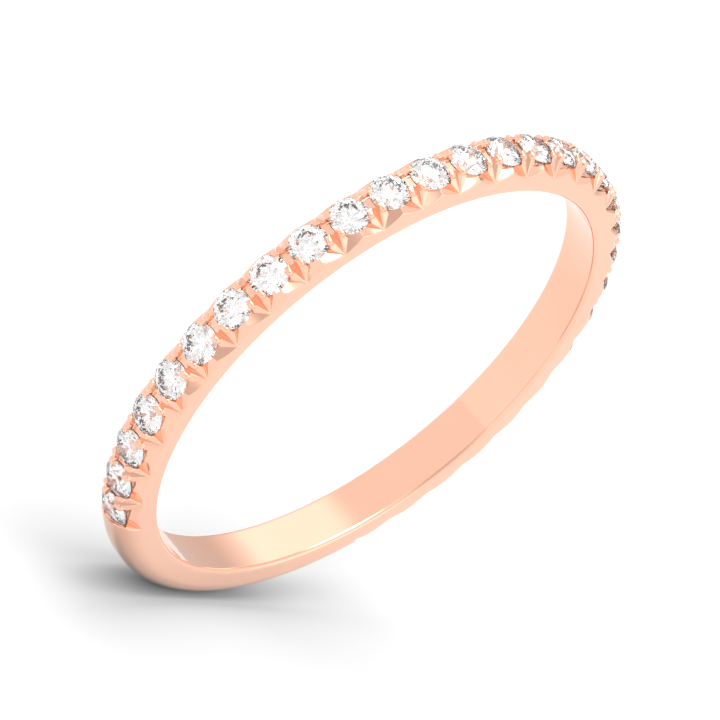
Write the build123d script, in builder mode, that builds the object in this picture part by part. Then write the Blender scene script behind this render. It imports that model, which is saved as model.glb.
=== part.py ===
# Wedding band: a rose gold ring, three quarters of it set with round brilliant diamonds.
#
# The band is one casting. Thirty stones stand in a single row along its top, and between
# neighbouring stones a fishtail prong is cut out of each side wall: a leaf shape that
# starts as a point low on the wall, widens upwards and is split by a needle groove into
# two claws, one for each neighbour. The bottom quarter of the ring is plain and polished.
#
# Frame: millimetres, the origin at the centre of the bore, the bore axis along Y,
# +Z towards the middle of the stone row. The plain shank is at the bottom.

import os
from math import cos, radians, sin, tan

from build123d import *

os.makedirs("parts", exist_ok=True)

# ring
bore_radius = 8.65
band_width = 1.70
band_radius = 10.05
comfort_fillet = 0.15
shoulder_fillet = 0.75

# stone row
stone_count = 30
stone_pitch = 9.25
row_half_angle = stone_count * stone_pitch / 2

# round brilliant
girdle_radius = 0.665
girdle_height = 0.025
girdle_level = 9.80
table_ratio = 0.56
crown_angle = 34.5
pavilion_angle = 40.75
star_reach = 0.76
lower_half_reach = 0.23
stone_turn = 17.0
main_step = 45.0
main_count = 8

# seat
seat_clearance = 0.010
crown_clearance = 0.015
claw_overlap = 0.090
saddle_width = 0.50
saddle_radius = 9.79

# fishtail prong, measured in the gap between two stones
valley_radius = 9.32
peak_axial = 0.78
peak_radius = 9.61
ledge_axial = 0.62
ledge_radius = 9.68
claw_spread = 0.30
claw_axial = 0.40
claw_radius = 10.00
belly_spread = 0.33
belly_share = 0.55
root_spread = 0.36
root_axial = 0.50
needle_half_angle = 40.0
needle_inner_axial = 0.20
needle_inner_radius = 9.90
needle_outer_axial = 0.82
needle_outer_radius = 9.36

# how far the cutters reach beyond what they cut
rough_spare = 0.1
lap_width = 3.0
lap_depth = 1.5
outside = 0.6
groove_inner_axial = 0.30
groove_reach = 0.90
leaf_reach = 1.3

side = band_width / 2


def radial_point(angle, axial, radius):
    """The point at this angle from +Z, this far along the bore axis, on this radius."""
    return Vector(radius * sin(radians(angle)), axial, radius * cos(radians(angle)))


def section_plane(angle):
    """The half plane through the bore axis: local x along the axis, local y outwards."""
    return Plane(
        origin=(0, 0, 0),
        x_dir=(0, 1, 0),
        z_dir=(cos(radians(angle)), 0, -sin(radians(angle))),
    )


# ---- round brilliant, girdle plane at z = 0, table upwards

crown_top = girdle_radius * (1 - table_ratio) * tan(radians(crown_angle))
pavilion_depth = girdle_radius * tan(radians(pavilion_angle))
half_step = radians(main_step / 2)
quarter_step = radians(main_step / 4)

star_tip_radius = star_reach * girdle_radius
star_tip_height = (girdle_radius - star_tip_radius * cos(half_step)) * tan(radians(crown_angle))
table_apothem = table_ratio * girdle_radius * cos(half_step)
star_slope = (crown_top - star_tip_height) / (star_tip_radius - table_apothem)

upper_half_run = (girdle_radius - star_tip_radius) * cos(quarter_step)
upper_half_slope = star_tip_height / upper_half_run

lower_tip_radius = lower_half_reach * girdle_radius
lower_tip_depth = (girdle_radius - lower_tip_radius * cos(half_step)) * tan(radians(pavilion_angle))
lower_half_run = (girdle_radius - lower_tip_radius) * cos(quarter_step)
lower_half_slope = lower_tip_depth / lower_half_run

edge = girdle_height / 2


def facet_plane(azimuth, reach, level, slope):
    """A facet that meets the given level at the given reach from the stone's axis."""
    out = Vector(cos(radians(azimuth)), sin(radians(azimuth)), 0)
    up = 1 if slope > 0 else -1
    return Plane(
        origin=out * reach + Vector(0, 0, level),
        z_dir=out * abs(slope) + Vector(0, 0, up),
    )


crown_tan = tan(radians(crown_angle))
pavilion_tan = tan(radians(pavilion_angle))
half_reach = girdle_radius * cos(quarter_step)
facets = []
for index in range(main_count):
    azimuth = main_step * index
    star_azimuth = azimuth + main_step / 2
    facets.append(facet_plane(azimuth, girdle_radius, edge, crown_tan))
    facets.append(facet_plane(azimuth, girdle_radius, -edge, -pavilion_tan))
    facets.append(facet_plane(star_azimuth, table_apothem, edge + crown_top, star_slope))
for index in range(2 * main_count):
    azimuth = main_step * (index / 2 + 1 / 4)
    facets.append(facet_plane(azimuth, half_reach, edge, upper_half_slope))
    facets.append(facet_plane(azimuth, half_reach, -edge, -lower_half_slope))

with BuildPart() as diamond:
    with Locations((0, 0, edge + crown_top)):
        Cylinder(
            girdle_radius,
            edge + crown_top + edge + pavilion_depth + rough_spare,
            align=(Align.CENTER, Align.CENTER, Align.MAX),
        )
    for plane in facets:
        with Locations(plane):
            Box(
                lap_width,
                lap_width,
                lap_depth,
                align=(Align.CENTER, Align.CENTER, Align.MIN),
                mode=Mode.SUBTRACT,
            )

# ---- seat cutter, in the same frame as the brilliant

with BuildPart() as seat:
    with BuildSketch(Plane.XZ):
        with BuildLine():
            Polyline(
                (0, -edge - pavilion_depth - 2 * seat_clearance),
                (girdle_radius + seat_clearance, -edge - seat_clearance),
                (girdle_radius + seat_clearance, edge + seat_clearance),
                (
                    girdle_radius - claw_overlap,
                    edge + crown_clearance + claw_overlap * crown_tan,
                ),
                (girdle_radius - claw_overlap, outside),
                (0, outside),
                close=True,
            )
        make_face()
    revolve(axis=Axis.Z)

# ---- fishtail cutter for the gap at the top of the ring

valley = Vector(0, side, valley_radius)
peak = radial_point(stone_pitch / 2, peak_axial, peak_radius)
ledge = radial_point(stone_pitch / 2, ledge_axial, ledge_radius)
claw = Vector(claw_spread, claw_axial, claw_radius)
belly = Vector(
    belly_spread,
    valley.Y + (claw.Y - valley.Y) * belly_share,
    valley.Z + (claw.Z - valley.Z) * belly_share,
)


def facet(first, second, third, away_from):
    """The plane through three points, facing away from a fourth."""
    normal = (second - first).cross(third - first)
    if normal.dot(away_from - first) > 0:
        normal = normal * -1
    return Plane(origin=first, z_dir=normal)


# the root of the prong lies on the facet that runs from the wall to the ledge
ledge_facet = facet(valley, peak, ledge, Vector(0, 0, 0))
root_drop = (Vector(root_spread, root_axial, 0) - valley).dot(ledge_facet.z_dir)
root = Vector(root_spread, root_axial, -root_drop / ledge_facet.z_dir.Z)
core = Vector(0, root_axial, valley_radius)
lower_flank = facet(valley, belly, root, core)
upper_flank = facet(belly, claw, root, core)

leaf_up = Vector(0, claw.Y - valley.Y, claw.Z - valley.Z)
leaf_plane = Plane(origin=valley, x_dir=(-1, 0, 0), z_dir=leaf_up.cross(Vector(1, 0, 0)))
leaf_top = leaf_plane.to_local_coords(valley + leaf_up * leaf_reach).Y
leaf_width = 4 * belly_spread

needle_outer = Vector(0, needle_outer_axial, needle_outer_radius)
needle_inner = Vector(0, needle_inner_axial, needle_inner_radius)
needle_way = needle_inner - needle_outer
needle_plane = Plane(origin=needle_outer, x_dir=(1, 0, 0), z_dir=needle_way)
needle_top = needle_plane.to_local_coords(needle_outer + Vector(0, 0, outside)).Y
needle_flare = needle_top * tan(radians(needle_half_angle))


def groove_block():
    """The room beside one prong, before its facets bound it."""
    with Locations((0, groove_inner_axial, valley_radius)):
        Box(
            groove_reach,
            side + outside - groove_inner_axial,
            band_radius + outside - valley_radius,
            align=(Align.MIN, Align.MIN, Align.MIN),
        )


with BuildPart() as lower_groove:
    groove_block()
    split(bisect_by=ledge_facet, keep=Keep.TOP)
    split(bisect_by=lower_flank, keep=Keep.TOP)
with BuildPart() as groove:
    groove_block()
    split(bisect_by=ledge_facet, keep=Keep.TOP)
    split(bisect_by=upper_flank, keep=Keep.TOP)
    add(lower_groove.part)

with BuildPart() as fishtail:
    add(groove.part)
    mirror(about=Plane.YZ)
    with BuildSketch(leaf_plane):
        Rectangle(leaf_width, leaf_top, align=(Align.CENTER, Align.MIN))
    extrude(amount=outside)
    with BuildSketch(needle_plane):
        with BuildLine():
            Polyline((0, 0), (needle_flare, needle_top), (-needle_flare, needle_top), close=True)
        make_face()
    extrude(amount=needle_way.length)
    mirror(about=Plane.XZ)

# the gap at either end of the row is cut on the stone's side only
with BuildPart() as first_gap:
    add(groove.part)
    mirror(about=Plane.XZ)
with BuildPart() as last_gap:
    add(first_gap.part)
    mirror(about=Plane.YZ, mode=Mode.REPLACE)


def turned(angle):
    """The place reached from the top of the ring by turning about the bore axis."""
    return Location((0, 0, 0), (0, angle, 0))


def stone_place(index):
    """Where one stone sits: its girdle plane, its table facing outwards."""
    angle = -row_half_angle + stone_pitch * (index + 0.5)
    return Plane(
        origin=radial_point(angle, 0, girdle_level),
        x_dir=(0, 1, 0),
        z_dir=radial_point(angle, 0, 1),
    ).location


stone_places = [stone_place(index) for index in range(stone_count)]
gap_places = [turned(-row_half_angle + stone_pitch * index) for index in range(1, stone_count)]

# ---- band

wall_middle = (bore_radius + band_radius) / 2
wall = band_radius - bore_radius

with BuildPart() as band:
    with BuildSketch(section_plane(0)) as section:
        with Locations((0, wall_middle)):
            Rectangle(band_width, wall)
        fillet(section.vertices().group_by(Axis.Y)[0], comfort_fillet)
        fillet(section.vertices().group_by(Axis.Y)[-1], shoulder_fillet)
    revolve(axis=Axis.Y)
    # channel between the claws, from the first stone to the last
    with BuildSketch(section_plane(-row_half_angle + stone_pitch / 2)):
        with Locations((0, saddle_radius)):
            Rectangle(saddle_width, outside, align=(Align.CENTER, Align.MIN))
    revolve(
        axis=Axis.Y,
        revolution_arc=2 * row_half_angle - stone_pitch,
        mode=Mode.SUBTRACT,
    )
    with Locations(*gap_places):
        add(fishtail.part, mode=Mode.SUBTRACT)
    with Locations(turned(-row_half_angle)):
        add(first_gap.part, mode=Mode.SUBTRACT)
    with Locations(turned(row_half_angle)):
        add(last_gap.part, mode=Mode.SUBTRACT)
    with Locations(*stone_places):
        add(seat.part, mode=Mode.SUBTRACT)

band.part.label = "band"
export_step(band.part, "parts/band.step")

# ---- stones, each turned a little differently on its own axis

for index, place in enumerate(stone_places):
    with BuildPart() as stone:
        with Locations(place * Location((0, 0, 0), (0, 0, stone_turn * index))):
            add(diamond.part)
    stone.part.label = f"diamond_{index + 1:02d}"
    export_step(stone.part, f"parts/{stone.part.label}.step")
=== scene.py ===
# Rose gold wedding band, three quarters set with round brilliants in fishtail prongs.
#
# Metres, +Z up, the bore axis along Y: the frame of the CAD model. The band is meshed
# here from a distance field, so that every graver cut, claw and soft edge is real
# geometry; the stones are cut facet by facet. Angles go round the bore axis from +Z
# towards +X, and lengths inside the setting are in millimetres, as a jeweller has them.

from math import cos, pi, radians, sin, tan

import bmesh
import bpy
import numpy as np
from mathutils import Matrix, Vector


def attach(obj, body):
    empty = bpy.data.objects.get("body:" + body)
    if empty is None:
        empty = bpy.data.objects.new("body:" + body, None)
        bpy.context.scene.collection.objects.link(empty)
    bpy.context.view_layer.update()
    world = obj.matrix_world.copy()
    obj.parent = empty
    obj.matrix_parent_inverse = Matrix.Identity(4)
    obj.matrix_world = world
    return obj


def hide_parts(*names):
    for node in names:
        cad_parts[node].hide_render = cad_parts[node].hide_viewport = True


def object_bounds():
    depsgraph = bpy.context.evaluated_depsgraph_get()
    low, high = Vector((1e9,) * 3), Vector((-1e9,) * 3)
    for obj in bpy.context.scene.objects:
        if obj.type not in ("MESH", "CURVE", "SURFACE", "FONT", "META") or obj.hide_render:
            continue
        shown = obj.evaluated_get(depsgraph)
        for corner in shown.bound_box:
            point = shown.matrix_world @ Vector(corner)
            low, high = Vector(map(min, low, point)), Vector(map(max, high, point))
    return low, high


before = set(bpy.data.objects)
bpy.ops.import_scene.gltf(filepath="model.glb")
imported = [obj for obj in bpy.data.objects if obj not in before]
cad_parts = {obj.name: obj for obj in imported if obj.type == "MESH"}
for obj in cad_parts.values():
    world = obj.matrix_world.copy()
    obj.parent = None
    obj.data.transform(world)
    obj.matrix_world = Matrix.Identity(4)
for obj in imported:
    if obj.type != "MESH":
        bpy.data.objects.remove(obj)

MM = 0.001
cad_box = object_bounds()

# ---- the ring, in millimetres

STONES = 30
PITCH = 9.25
ROW_END = STONES * PITCH / 2
BAND_RADIUS = 10.05
HALF_WIDTH = 0.85
BORE_RADIUS = 8.65
COMFORT_FILLET = 0.15
SHOULDER_FILLET = 0.75

GIRDLE_RADIUS = 0.665
GIRDLE_EDGE = 0.0125
GIRDLE_LEVEL = 9.80
TABLE_RATIO = 0.56
CROWN_ANGLE, PAVILION_ANGLE = radians(34.5), radians(40.75)
CROWN_TAN, PAVILION_TAN = tan(CROWN_ANGLE), tan(PAVILION_ANGLE)
STAR_REACH = 0.76
LOWER_HALF_REACH = 0.23
STONE_TURN = 17.0

# fishtail prong, in the gap between two stones
VALLEY_RADIUS = 9.32
PEAK_AXIAL, PEAK_RADIUS = 0.78, 9.61
LEDGE_AXIAL, LEDGE_RADIUS = 0.62, 9.68
CLAW_SPREAD, CLAW_AXIAL, CLAW_RADIUS = 0.30, 0.40, 10.00
BELLY_SPREAD, BELLY_SHARE = 0.33, 0.55
ROOT_SPREAD, ROOT_AXIAL = 0.36, 0.50
LEDGE_HOLLOW = 0.08
BEAD_SPREAD, BEAD_AXIAL, BEAD_RADIUS = 0.235, 0.415, 0.125
SADDLE_HALF_WIDTH = 0.25
SADDLE_RADIUS = 9.79
NEEDLE_HALF_ANGLE = 40.0
NEEDLE_INNER = (0.20, 9.90)
NEEDLE_OUTER = (0.82, 9.36)
SEAT_CLEARANCE = 0.010
CROWN_CLEARANCE = 0.015
CLAW_OVERLAP = 0.090

# fineness of the metal's mesh, and where the field hands over to the lathe
STEP = 0.0255
FIELD_FLOOR = 9.12
LATHE_TOP = 9.07
LATHE_LINE = 8.93
FIELD_MARGIN = 12.0
PLAIN_TURN = 0.75
LATHE_SKIP = 6


def radial_point(angle, axial, radius):
    return np.array([radius * sin(radians(angle)), axial, radius * cos(radians(angle))])


# ---- distance field of the set band

def soft_max(a, b, k):
    h = np.clip(0.5 + 0.5 * (a - b) / k, 0, 1)
    return b + (a - b) * h + k * h * (1 - h)


def soft_min(a, b, k):
    return -soft_max(-a, -b, k)


def facet(origin, p, q, core):
    """A facet through three points as its origin and unit normal, facing away from a fourth."""
    n = np.cross(p - origin, q - origin)
    n /= np.linalg.norm(n)
    return origin, n * -np.sign(n @ (core - origin))


def height_over(plane, x, y, z):
    (ox, oy, oz), (nx, ny, nz) = plane
    return nx * (x - ox) + ny * (y - oy) + nz * (z - oz)


valley = np.array([0, HALF_WIDTH, VALLEY_RADIUS])
peak = radial_point(PITCH / 2, PEAK_AXIAL, PEAK_RADIUS)
ledge = radial_point(PITCH / 2, LEDGE_AXIAL, LEDGE_RADIUS)
claw = np.array([CLAW_SPREAD, CLAW_AXIAL, CLAW_RADIUS])
belly = np.array([BELLY_SPREAD, 0, 0]) + (valley + (claw - valley) * BELLY_SHARE) * [0, 1, 1]
core = np.array([0, ROOT_AXIAL, VALLEY_RADIUS])
LEDGE_FACET = facet(valley, peak, ledge, np.zeros(3))
drop = height_over(LEDGE_FACET, ROOT_SPREAD, ROOT_AXIAL, 0)
root = np.array([ROOT_SPREAD, ROOT_AXIAL, -drop / LEDGE_FACET[1][2]])
LOWER_FLANK = facet(valley, belly, root, core)
UPPER_FLANK = facet(belly, claw, root, core)
LEAF = facet(valley, claw, claw * [-1, 1, 1], np.zeros(3))


def seat_field(x, y, z):
    """Positive inside the room cut for one stone, in the stone's own frame."""
    reach = GIRDLE_RADIUS + SEAT_CLEARANCE
    throat = GIRDLE_RADIUS - CLAW_OVERLAP
    depth = GIRDLE_RADIUS * PAVILION_TAN
    crown = GIRDLE_EDGE + CROWN_CLEARANCE + CLAW_OVERLAP * CROWN_TAN
    wall = np.interp(
        z,
        [-GIRDLE_EDGE - depth - 2 * SEAT_CLEARANCE, -GIRDLE_EDGE - SEAT_CLEARANCE,
         GIRDLE_EDGE + SEAT_CLEARANCE, crown],
        [0, reach, reach, throat],
    )
    slope = np.where(z < -GIRDLE_EDGE, cos(PAVILION_ANGLE), 1.0)
    return (wall - np.hypot(x, y)) * slope


def metal(theta, y, r):
    """Signed distance, roughly, in millimetres: below zero in the metal."""
    side = np.abs(y)
    # square section with well rounded shoulders
    qy = side - HALF_WIDTH + SHOULDER_FILLET
    qr = r - BAND_RADIUS + SHOULDER_FILLET
    f = np.hypot(np.maximum(qy, 0), np.maximum(qr, 0)) - SHOULDER_FILLET
    f = f + np.minimum(np.maximum(qy, qr), 0)

    # fishtail prongs in the gaps between stones
    gap = np.clip(np.round((theta + ROW_END) / PITCH), 0, STONES)
    turn = np.radians(theta - (gap * PITCH - ROW_END))
    x, z = r * np.sin(turn), r * np.cos(turn)
    first, last = gap == 0, gap == STONES
    inward = np.where(last, -x, x)
    ax = np.where(first | last, inward, np.abs(x))
    share = np.clip(ax / (peak[0] * r / PEAK_RADIUS), 0, 1)
    over_ledge = height_over(LEDGE_FACET, ax, side, z) + LEDGE_HOLLOW * share * (1 - share)
    over_side = soft_max(
        height_over(LOWER_FLANK, ax, side, z), height_over(UPPER_FLANK, ax, side, z), 0.02)
    over_leaf = height_over(LEAF, ax, side, z)
    shoulder = soft_min(over_ledge, over_side, 0.012)
    prong = soft_min(over_ledge, soft_max(over_leaf, over_side, 0.02), 0.012)
    ends = first | last
    f = soft_max(f, np.where(ends, shoulder, prong), 0.03)

    # needle groove that splits each prong
    (y0, r0), (y1, r1) = NEEDLE_INNER, NEEDLE_OUTER
    run = np.hypot(y1 - y0, r1 - r0)
    depth = ((z - r0) * (y1 - y0) - (side - y0) * (r1 - r0)) / run
    half = radians(NEEDLE_HALF_ANGLE)
    needle = depth * sin(half) - np.abs(x) * cos(half)
    needle = np.minimum(needle, np.minimum(side - y0, y1 + 0.05 - side))
    needle = np.where(ends, -1.0, needle)
    f = soft_max(f, needle, 0.02)

    # claw tips, each burnished to a bead
    bead = np.sqrt(
        (np.abs(x) - BEAD_SPREAD) ** 2 + (side - BEAD_AXIAL) ** 2
        + (z - CLAW_RADIUS + BEAD_RADIUS) ** 2) - BEAD_RADIUS
    f = np.where(ends, f, soft_min(f, bead, 0.04))

    # channel between the claws
    saddle = soft_min(SADDLE_HALF_WIDTH - side, r - SADDLE_RADIUS, 0.05)
    beyond = (np.abs(theta) - (ROW_END - PITCH / 2)) * radians(1) * GIRDLE_LEVEL
    f = soft_max(f, np.minimum(saddle, -beyond), 0.03)

    # seats
    stone = np.clip(np.round((theta + ROW_END) / PITCH - 0.5), 0, STONES - 1)
    turn = np.radians(theta - ((stone + 0.5) * PITCH - ROW_END))
    f = soft_max(f, seat_field(r * np.sin(turn), y, r * np.cos(turn) - GIRDLE_LEVEL), 0.006)
    return f


# ---- surface of the field

def surface_net(values):
    """Closed surface where the values change sign, on a grid that closes on itself
    along its first axis. Returns the vertices in grid coordinates and the quads."""
    shape = values.shape
    inside = values < 0
    cells, points, quads = [], [], []
    for axis in range(3):
        ahead = np.roll(inside, -1, axis)
        crossing = ahead != inside
        if axis:
            crossing[(slice(None),) * axis + (-1,)] = False
        i, j, k = np.nonzero(crossing)
        a = values[i, j, k]
        b = np.roll(values, -1, axis)[i, j, k]
        point = np.stack([i, j, k], 1).astype(np.float64)
        point[:, axis] += a / (a - b)
        u, v = (axis + 1) % 3, (axis + 2) % 3
        corners = []
        keep = np.ones(len(i), bool)
        for du, dv in ((0, 0), (-1, 0), (-1, -1), (0, -1)):
            cell = np.stack([i, j, k], 1)
            cell[:, u] += du
            cell[:, v] += dv
            for free in (1, 2):
                keep &= (cell[:, free] >= 0) & (cell[:, free] < shape[free] - 1)
            corners.append(cell)
        for cell in corners:
            near = point - cell
            cell = cell.copy()
            cell[:, 0] %= shape[0]
            index = (cell[:, 0] * shape[1] + cell[:, 1]) * shape[2] + cell[:, 2]
            good = (cell[:, 1] >= 0) & (cell[:, 2] >= 0)
            good &= (cell[:, 1] < shape[1] - 1) & (cell[:, 2] < shape[2] - 1)
            cells.append(index[good])
            points.append(near[good])
        ring = []
        for cell in corners:
            cell = cell.copy()
            cell[:, 0] %= shape[0]
            ring.append((cell[:, 0] * shape[1] + cell[:, 1]) * shape[2] + cell[:, 2])
        ring = np.stack(ring, 1)[keep]
        flip = ~inside[i, j, k][keep]
        ring[flip] = ring[flip][:, ::-1]
        quads.append(ring)
    cells = np.concatenate(cells)
    points = np.concatenate(points)
    quads = np.concatenate(quads)
    used, where = np.unique(cells, return_inverse=True)
    count = np.bincount(where)
    offset = np.stack([np.bincount(where, points[:, c]) / count for c in range(3)], 1)
    base = np.stack(np.unravel_index(used, shape), 1)
    lookup = np.full(int(used.max()) + 1, -1)
    lookup[used] = np.arange(len(used))
    return base, offset, lookup[quads]


def gradient(theta, y, r):
    h = 0.004
    turn = np.degrees(h / r)
    return np.stack([
        metal(theta + turn, y, r) - metal(theta - turn, y, r),
        metal(theta, y + h, r) - metal(theta, y - h, r),
        metal(theta, y, r + h) - metal(theta, y, r - h),
    ], 1) / (2 * h)


def to_xyz(theta, y, r):
    a = np.radians(theta)
    return np.stack([r * np.sin(a), y, r * np.cos(a)], -1)


def band_mesh():
    fine = STEP / radians(BAND_RADIUS)
    reach = ROW_END + FIELD_MARGIN
    per_side = int(round(reach / fine))
    set_part = np.linspace(-reach, reach, 2 * per_side + 1)
    plain = np.linspace(reach, 360 - reach, int((360 - 2 * reach) / PLAIN_TURN) + 1)[1:-1]
    theta_nodes = np.concatenate([set_part, plain])
    across = int(round(HALF_WIDTH / STEP))
    outer = (across + 0.5) / across
    y_nodes = np.linspace(-outer, outer, 2 * across + 2) * HALF_WIDTH
    r_nodes = np.arange(FIELD_FLOOR, BAND_RADIUS + 1.5 * STEP, STEP)

    t, y, r = np.meshgrid(theta_nodes, y_nodes, r_nodes, indexing="ij")
    t = np.where(t > 180, t - 360, t)
    values = metal(t, y, r)
    base, offset, quads = surface_net(values)

    theta_gap = np.diff(np.append(theta_nodes, theta_nodes[0] + 360))
    theta = theta_nodes[base[:, 0]] + offset[:, 0] * theta_gap[base[:, 0]]
    theta = np.where(theta > 180, theta - 360, theta)
    y = y_nodes[base[:, 1]] + offset[:, 1] * np.diff(y_nodes)[base[:, 1]]
    r = r_nodes[base[:, 2]] + offset[:, 2] * STEP

    # settle the vertices on the surface itself
    for _ in range(2):
        f = metal(theta, y, r)
        g = gradient(theta, y, r)
        move = (f / np.maximum((g * g).sum(1), 0.2))[:, None] * g
        size = np.linalg.norm(move, axis=1, keepdims=True)
        move *= np.minimum(1, 0.4 * STEP / np.maximum(size, 1e-9))
        theta = theta - np.degrees(move[:, 0] / r)
        y = y - move[:, 1]
        r = r - move[:, 2]
    g = gradient(theta, y, r)
    g /= np.linalg.norm(g, axis=1, keepdims=True)
    a = np.radians(theta)
    normals = np.stack([
        g[:, 0] * np.cos(a) + g[:, 2] * np.sin(a),
        g[:, 1],
        -g[:, 0] * np.sin(a) + g[:, 2] * np.cos(a),
    ], 1)
    points = to_xyz(theta, y, r)

    # lower walls and bore, turned on a lathe below the field
    columns = len(theta_nodes)
    low = {}
    for hand in (-1, 1):
        rim = np.nonzero((base[:, 2] == 0) & (y * hand > HALF_WIDTH / 2))[0]
        order = np.full(columns, -1)
        order[base[rim, 0]] = rim
        low[hand] = order
    centre = theta_nodes + theta_gap / 2
    wide = np.concatenate([np.arange(0, 2 * per_side, LATHE_SKIP), np.arange(2 * per_side, columns)])
    turn = np.radians(centre[wide])
    fillet_steps = 8
    profile = [(HALF_WIDTH, LATHE_TOP, 1.0, 0.0), (HALF_WIDTH, LATHE_LINE, 1.0, 0.0)]
    for step in range(fillet_steps + 1):
        angle = step * pi / 2 / fillet_steps
        profile.append((
            HALF_WIDTH - COMFORT_FILLET * (1 - cos(angle)),
            BORE_RADIUS + COMFORT_FILLET * (1 - sin(angle)),
            cos(angle), -sin(angle),
        ))
    straight = HALF_WIDTH - COMFORT_FILLET
    profile += [(straight * s, BORE_RADIUS, 0.0, -1.0) for s in (0.5, 0.0, -0.5)]
    profile += [(-py, pr, -ny, nr) for py, pr, ny, nr in reversed(profile[:-3])]
    rows = []
    lathe_points, lathe_normals = [], []
    start = len(points)
    for py, pr, ny, nr in profile:
        rows.append(start + len(lathe_points) * len(wide) + np.arange(len(wide)))
        axial, tilt = np.full_like(turn, py), np.full_like(turn, ny)
        lathe_points.append(np.stack([pr * np.sin(turn), axial, pr * np.cos(turn)], 1))
        lathe_normals.append(np.stack([nr * np.sin(turn), tilt, nr * np.cos(turn)], 1))
    faces = [tuple(q) for q in quads.tolist()]
    n = len(wide)
    for upper, lower in zip(rows, rows[1:]):
        for c in range(n):
            d = (c + 1) % n
            faces.append((upper[c], upper[d], lower[d], lower[c]))
    for hand, row in ((1, rows[0]), (-1, rows[-1])):
        for c in range(n):
            d = (c + 1) % n
            stop = wide[d] if d else columns
            chain = [low[hand][q % columns] for q in range(wide[c], stop + 1)]
            face = [row[c]] + [row[d]] + chain[::-1]
            faces.append(tuple(face[::-1] if hand == 1 else face))
    points = np.concatenate([points] + lathe_points)
    normals = np.concatenate([normals] + lathe_normals)

    mesh = bpy.data.meshes.new("band_metal")
    mesh.from_pydata((points * MM).tolist(), [], faces)
    mesh.validate()
    mesh.polygons.foreach_set("use_smooth", np.ones(len(mesh.polygons), bool))
    mesh.normals_split_custom_set_from_vertices(normals.tolist())
    mesh.update()
    return mesh


# ---- one brilliant, girdle plane at z = 0, table upwards

def brilliant_mesh():
    crown_top = GIRDLE_RADIUS * (1 - TABLE_RATIO) * CROWN_TAN
    half_step, quarter_step = radians(22.5), radians(11.25)
    apothem = TABLE_RATIO * GIRDLE_RADIUS * cos(half_step)
    star_tip = STAR_REACH * GIRDLE_RADIUS
    star_level = (GIRDLE_RADIUS - star_tip * cos(half_step)) * CROWN_TAN
    lower_tip = LOWER_HALF_REACH * GIRDLE_RADIUS
    lower_level = (GIRDLE_RADIUS - lower_tip * cos(half_step)) * PAVILION_TAN
    star_slope = (crown_top - star_level) / (star_tip - apothem)
    upper_slope = star_level / ((GIRDLE_RADIUS - star_tip) * cos(quarter_step))
    lower_slope = lower_level / ((GIRDLE_RADIUS - lower_tip) * cos(quarter_step))
    half_reach = GIRDLE_RADIUS * cos(quarter_step)

    bm = bmesh.new()
    bmesh.ops.create_cone(bm, cap_ends=True, segments=96, radius1=GIRDLE_RADIUS,
                          radius2=GIRDLE_RADIUS, depth=1.4)

    def grind(azimuth, reach, level, slope, up):
        out = Vector((cos(radians(azimuth)), sin(radians(azimuth)), 0))
        geometry = bm.verts[:] + bm.edges[:] + bm.faces[:]
        cut = bmesh.ops.bisect_plane(
            bm, geom=geometry, dist=1e-6, plane_co=out * reach + Vector((0, 0, level)),
            plane_no=out * slope + Vector((0, 0, up)), clear_outer=True)
        rim = [e for e in cut["geom_cut"] if isinstance(e, bmesh.types.BMEdge)]
        if rim:
            bmesh.ops.edgeloop_fill(bm, edges=rim)

    grind(0, 0, GIRDLE_EDGE + crown_top, 0, 1)
    for i in range(8):
        grind(45 * i, GIRDLE_RADIUS, GIRDLE_EDGE, CROWN_TAN, 1)
        grind(45 * i + 22.5, apothem, GIRDLE_EDGE + crown_top, star_slope, 1)
        grind(45 * i, GIRDLE_RADIUS, -GIRDLE_EDGE, PAVILION_TAN, -1)
    for i in range(16):
        grind(11.25 + 22.5 * i, half_reach, GIRDLE_EDGE, upper_slope, 1)
        grind(11.25 + 22.5 * i, half_reach, -GIRDLE_EDGE, lower_slope, -1)
    bmesh.ops.remove_doubles(bm, verts=bm.verts[:], dist=2e-5)
    bmesh.ops.recalc_face_normals(bm, faces=bm.faces[:])
    for face in bm.faces:
        face.smooth = False
    bmesh.ops.scale(bm, vec=(MM, MM, MM), verts=bm.verts[:])
    mesh = bpy.data.meshes.new("brilliant")
    bm.to_mesh(mesh)
    bm.free()
    return mesh


# ---- materials

def new_material(name):
    material = bpy.data.materials.new(name)
    material.use_nodes = True
    tree = material.node_tree
    tree.nodes.clear()
    out = tree.nodes.new("ShaderNodeOutputMaterial")
    shader = tree.nodes.new("ShaderNodeBsdfPrincipled")
    tree.links.new(shader.outputs["BSDF"], out.inputs["Surface"])
    return material, tree, shader


def noise(tree, scale, detail=2.0, stretch=(1, 1, 1)):
    where = tree.nodes.new("ShaderNodeTexCoord")
    mapping = tree.nodes.new("ShaderNodeMapping")
    mapping.inputs["Scale"].default_value = stretch
    texture = tree.nodes.new("ShaderNodeTexNoise")
    texture.inputs["Scale"].default_value = scale
    texture.inputs["Detail"].default_value = detail
    tree.links.new(where.outputs["Object"], mapping.inputs["Vector"])
    tree.links.new(mapping.outputs["Vector"], texture.inputs["Vector"])
    return texture.outputs["Fac"]


def ramp(tree, value, stops):
    node = tree.nodes.new("ShaderNodeValToRGB")
    tree.links.new(value, node.inputs["Fac"])
    elements = node.color_ramp.elements
    while len(elements) > 1:
        elements.remove(elements[-1])
    elements[0].position, elements[0].color = stops[0][0], (*stops[0][1], 1)
    for position, colour in stops[1:]:
        elements.new(position).color = (*colour, 1)
    return node.outputs["Color"]


def scaled(tree, value, low, high):
    node = tree.nodes.new("ShaderNodeMapRange")
    node.inputs["To Min"].default_value = low
    node.inputs["To Max"].default_value = high
    tree.links.new(value, node.inputs["Value"])
    return node.outputs["Result"]


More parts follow.
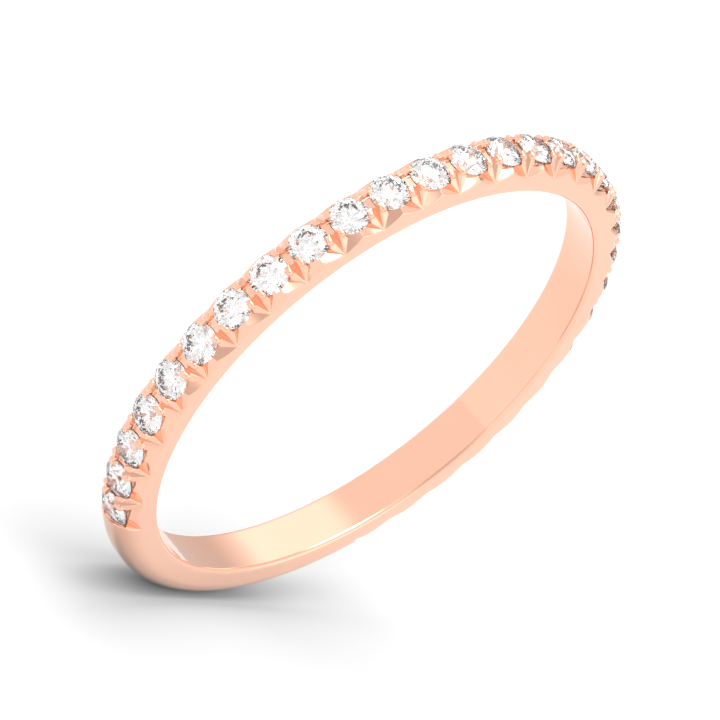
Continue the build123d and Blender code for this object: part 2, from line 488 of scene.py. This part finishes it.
def rose_gold():
    material, tree, shader = new_material("rose_gold_polished")
    tone = noise(tree, 350.0, 3.0)
    tree.links.new(
        ramp(tree, tone, [(0.35, (0.952, 0.553, 0.403)), (0.65, (0.962, 0.571, 0.421))]),
        shader.inputs["Base Color"])
    shader.inputs["Metallic"].default_value = 1.0
    wear = noise(tree, 1400.0, 4.0)
    tree.links.new(scaled(tree, wear, 0.035, 0.085), shader.inputs["Roughness"])
    brushed = noise(tree, 2600.0, 2.0, stretch=(1, 6, 1))
    bump = tree.nodes.new("ShaderNodeBump")
    bump.inputs["Strength"].default_value = 0.02
    bump.inputs["Distance"].default_value = 0.00002
    tree.links.new(brushed, bump.inputs["Height"])
    tree.links.new(bump.outputs["Normal"], shader.inputs["Normal"])
    return material


def diamond():
    material, tree, shader = new_material("diamond_clear")
    tint = noise(tree, 900.0, 1.0)
    tree.links.new(
        ramp(tree, tint, [(0.4, (0.930, 0.935, 0.945)), (0.6, (0.965, 0.970, 0.975))]),
        shader.inputs["Base Color"])
    shader.inputs["Transmission Weight"].default_value = 1.0
    shader.inputs["IOR"].default_value = 2.417
    shader.inputs["Roughness"].default_value = 0.0
    return material


# ---- pieces

gold = rose_gold()
clear = diamond()

band = bpy.data.objects.new("band_metal", band_mesh())
bpy.context.scene.collection.objects.link(band)
band.data.materials.append(gold)
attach(band, "root")
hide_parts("band")

brilliant = brilliant_mesh()
brilliant.materials.append(clear)
for index in range(STONES):
    angle = -ROW_END + PITCH * (index + 0.5)
    out = Vector(radial_point(angle, 0, 1))
    along = Vector((0, 1, 0))
    seat = Matrix((along, out.cross(along), out)).transposed().to_4x4()
    seat.translation = out * GIRDLE_LEVEL * MM
    stone = bpy.data.objects.new(f"brilliant_{index + 1:02d}", brilliant.copy())
    stone.data.transform(seat @ Matrix.Rotation(radians(STONE_TURN * index), 4, "Z"))
    bpy.context.scene.collection.objects.link(stone)
    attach(stone, "root")
    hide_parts(f"diamond_{index + 1:02d}")

# ---- studio

def direction(azimuth, elevation):
    a, e = radians(azimuth), radians(elevation)
    return Vector((sin(a) * cos(e), -cos(a) * cos(e), sin(e)))


floor_mesh = bpy.data.meshes.new("floor")
reach = 1.5
ground = cad_box[0].z
floor_mesh.from_pydata(
    [(-reach, -reach, ground), (reach, -reach, ground),
     (reach, reach, ground), (-reach, reach, ground)],
    [], [(0, 1, 2, 3)])
floor = bpy.data.objects.new("floor", floor_mesh)
bpy.context.scene.collection.objects.link(floor)
paper, tree, shader = new_material("paper")
shader.inputs["Base Color"].default_value = (0.74, 0.74, 0.74, 1)
shader.inputs["Roughness"].default_value = 0.9
shader.inputs["Specular IOR Level"].default_value = 0.0
floor_mesh.materials.append(paper)


# white studio, brighter and dimmer in large soft patches
STUDIO = 1.03

world = bpy.data.worlds.new("studio")
bpy.context.scene.world = world
world.use_nodes = True
tree = world.node_tree
tree.nodes.clear()
world_out = tree.nodes.new("ShaderNodeOutputWorld")
background = tree.nodes.new("ShaderNodeBackground")
tree.links.new(background.outputs["Background"], world_out.inputs["Surface"])
sky = tree.nodes.new("ShaderNodeTexCoord").outputs["Generated"]


def patch(radiance, azimuth, elevation, inner, outer, gain):
    """Brighten or dim the white studio in a soft round patch around a direction."""
    dot = tree.nodes.new("ShaderNodeVectorMath")
    dot.operation = "DOT_PRODUCT"
    dot.inputs[1].default_value = direction(azimuth, elevation)
    tree.links.new(sky, dot.inputs[0])
    edge = tree.nodes.new("ShaderNodeMapRange")
    edge.interpolation_type = "SMOOTHERSTEP"
    edge.inputs["From Min"].default_value = cos(radians(outer))
    edge.inputs["From Max"].default_value = cos(radians(inner))
    edge.inputs["To Min"].default_value = 1.0
    edge.inputs["To Max"].default_value = gain
    tree.links.new(dot.outputs["Value"], edge.inputs["Value"])
    product = tree.nodes.new("ShaderNodeMath")
    product.operation = "MULTIPLY"
    tree.links.new(edge.outputs["Result"], product.inputs[0])
    if radiance is None:
        product.inputs[1].default_value = STUDIO
    else:
        tree.links.new(radiance, product.inputs[1])
    return product.outputs["Value"]


# large white banks, and two soft shades: behind the ring and around the camera
light = patch(None, 160, 62, 13, 32, 1.5)
light = patch(light, -63, 21, 5, 26, 0.70)
light = patch(light, 115, 12, 12, 34, 0.72)
light = patch(light, 20, 22, 10, 36, 1.5)
light = patch(light, -85, 58, 8, 26, 1.4)
light = patch(light, -90, 76, 5, 25, 4.4)
background.inputs["Color"].default_value = (1, 1, 1, 1)
tree.links.new(light, background.inputs["Strength"])

# ---- camera

CAMERA_AZIMUTH, CAMERA_ELEVATION, CAMERA_ROLL = -63.286, 21.319, 40.473
CAMERA_DISTANCE = 0.300
CAMERA_RIGHT, CAMERA_DOWN = 0.000111, 0.000183

camera_data = bpy.data.cameras.new("camera")
camera_data.lens = 461.6
camera_data.sensor_width = 36.0
camera_data.clip_start = 0.01
camera = bpy.data.objects.new("camera", camera_data)
bpy.context.scene.collection.objects.link(camera)
back = direction(CAMERA_AZIMUTH, CAMERA_ELEVATION)
level_view = back.to_track_quat("Z", "Y").to_matrix()
turned = level_view @ Matrix.Rotation(radians(CAMERA_ROLL), 3, "Z")
camera.matrix_world = turned.to_4x4()
camera.location = turned @ Vector((-CAMERA_RIGHT, CAMERA_DOWN, CAMERA_DISTANCE))
bpy.context.scene.camera = camera

bpy.context.scene.view_settings.view_transform = "Standard"
bpy.context.scene.cycles.max_bounces = 24
bpy.context.scene.cycles.transmission_bounces = 24
bpy.context.scene.cycles.glossy_bounces = 8
bpy.context.scene.cycles.caustics_reflective = False
bpy.context.scene.cycles.caustics_refractive = False
